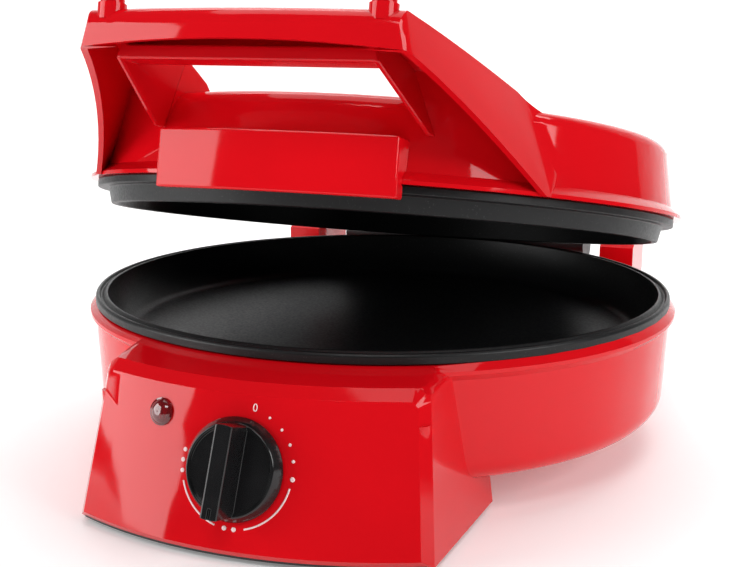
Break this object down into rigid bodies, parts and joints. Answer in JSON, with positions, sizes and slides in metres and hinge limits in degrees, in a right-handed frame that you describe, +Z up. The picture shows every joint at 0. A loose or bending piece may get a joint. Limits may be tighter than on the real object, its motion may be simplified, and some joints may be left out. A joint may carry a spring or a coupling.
{
  "type": "electric pizza maker",
  "caption": "Countertop pizza maker with a round non-stick pan in a bowl housing, a thermostat knob in front and a hinged hooded lid with a handle bar and an upper pan.",
  "frame": {"origin": "on the table under the middle of the round lower pan", "axes": "+Z up, -Y towards the control panel and the user, +X to the right seen from the front"},
  "size_m": [0.33, 0.4296, 0.2417],
  "materials": {
    "red_shell": "glossy",
    "red_liner": "glossy",
    "red_lens": "glossy, translucent",
    "black_knob": "glossy",
    "black_plastic": "satin",
    "nonstick": "speckled satin non-stick",
    "pad_rubber": "matte",
    "bright_sheet": "brushed",
    "heater_tube": "dull",
    "zinc_steel": "satin",
    "lamp_glass": "clear",
    "light_insulation": "matte"
  },
  "bodies": {
    "base": {"base_housing": "red_shell", "front_cover": "black_plastic", "rear_cover": "black_plastic", "cover_screws": "zinc_steel", "rubber_feet": "pad_rubber", "lower_pan": "nonstick", "lower_pan_screws": "zinc_steel", "lower_reflector": "bright_sheet", "lower_heater": "heater_tube", "lower_heater_clips": "bright_sheet", "thermal_fuse": "light_insulation", "thermostat_bracket": "zinc_steel", "thermostat": "light_insulation", "thermostat_screws": "zinc_steel", "indicator_lens": "red_lens", "indicator_lamp": "lamp_glass", "terminal_block": "light_insulation", "cord_gland": "black_plastic"},
    "knob": {"control_knob": "black_knob", "knob_shaft": "zinc_steel"},
    "lid": {"lid_shell": "red_shell", "handle_liner": "red_liner", "front_apron": "red_shell", "handle_feet": "red_shell", "handle_foot_pads": "pad_rubber", "upper_pan": "nonstick", "upper_pan_screws": "zinc_steel", "upper_reflector": "bright_sheet", "upper_heater": "heater_tube", "upper_heater_clips": "bright_sheet", "hinge_block": "black_plastic", "hinge_pins": "zinc_steel", "hinge_screws": "zinc_steel"}
  },
  "joints": [
    {"name": "lid_hinge", "type": "hinge", "parent": "base", "child": "lid", "pos_m": [0, 0.19426, 0.09], "axis": [-1, 0, 0], "range_deg": [-11.8, 170.5]},
    {"name": "knob_turn", "type": "hinge", "parent": "base", "child": "knob", "pos_m": [0, -0.19804, 0.041], "axis": [0, 0.9648, -0.2629], "range_deg": [-172, 84]}
  ]
}
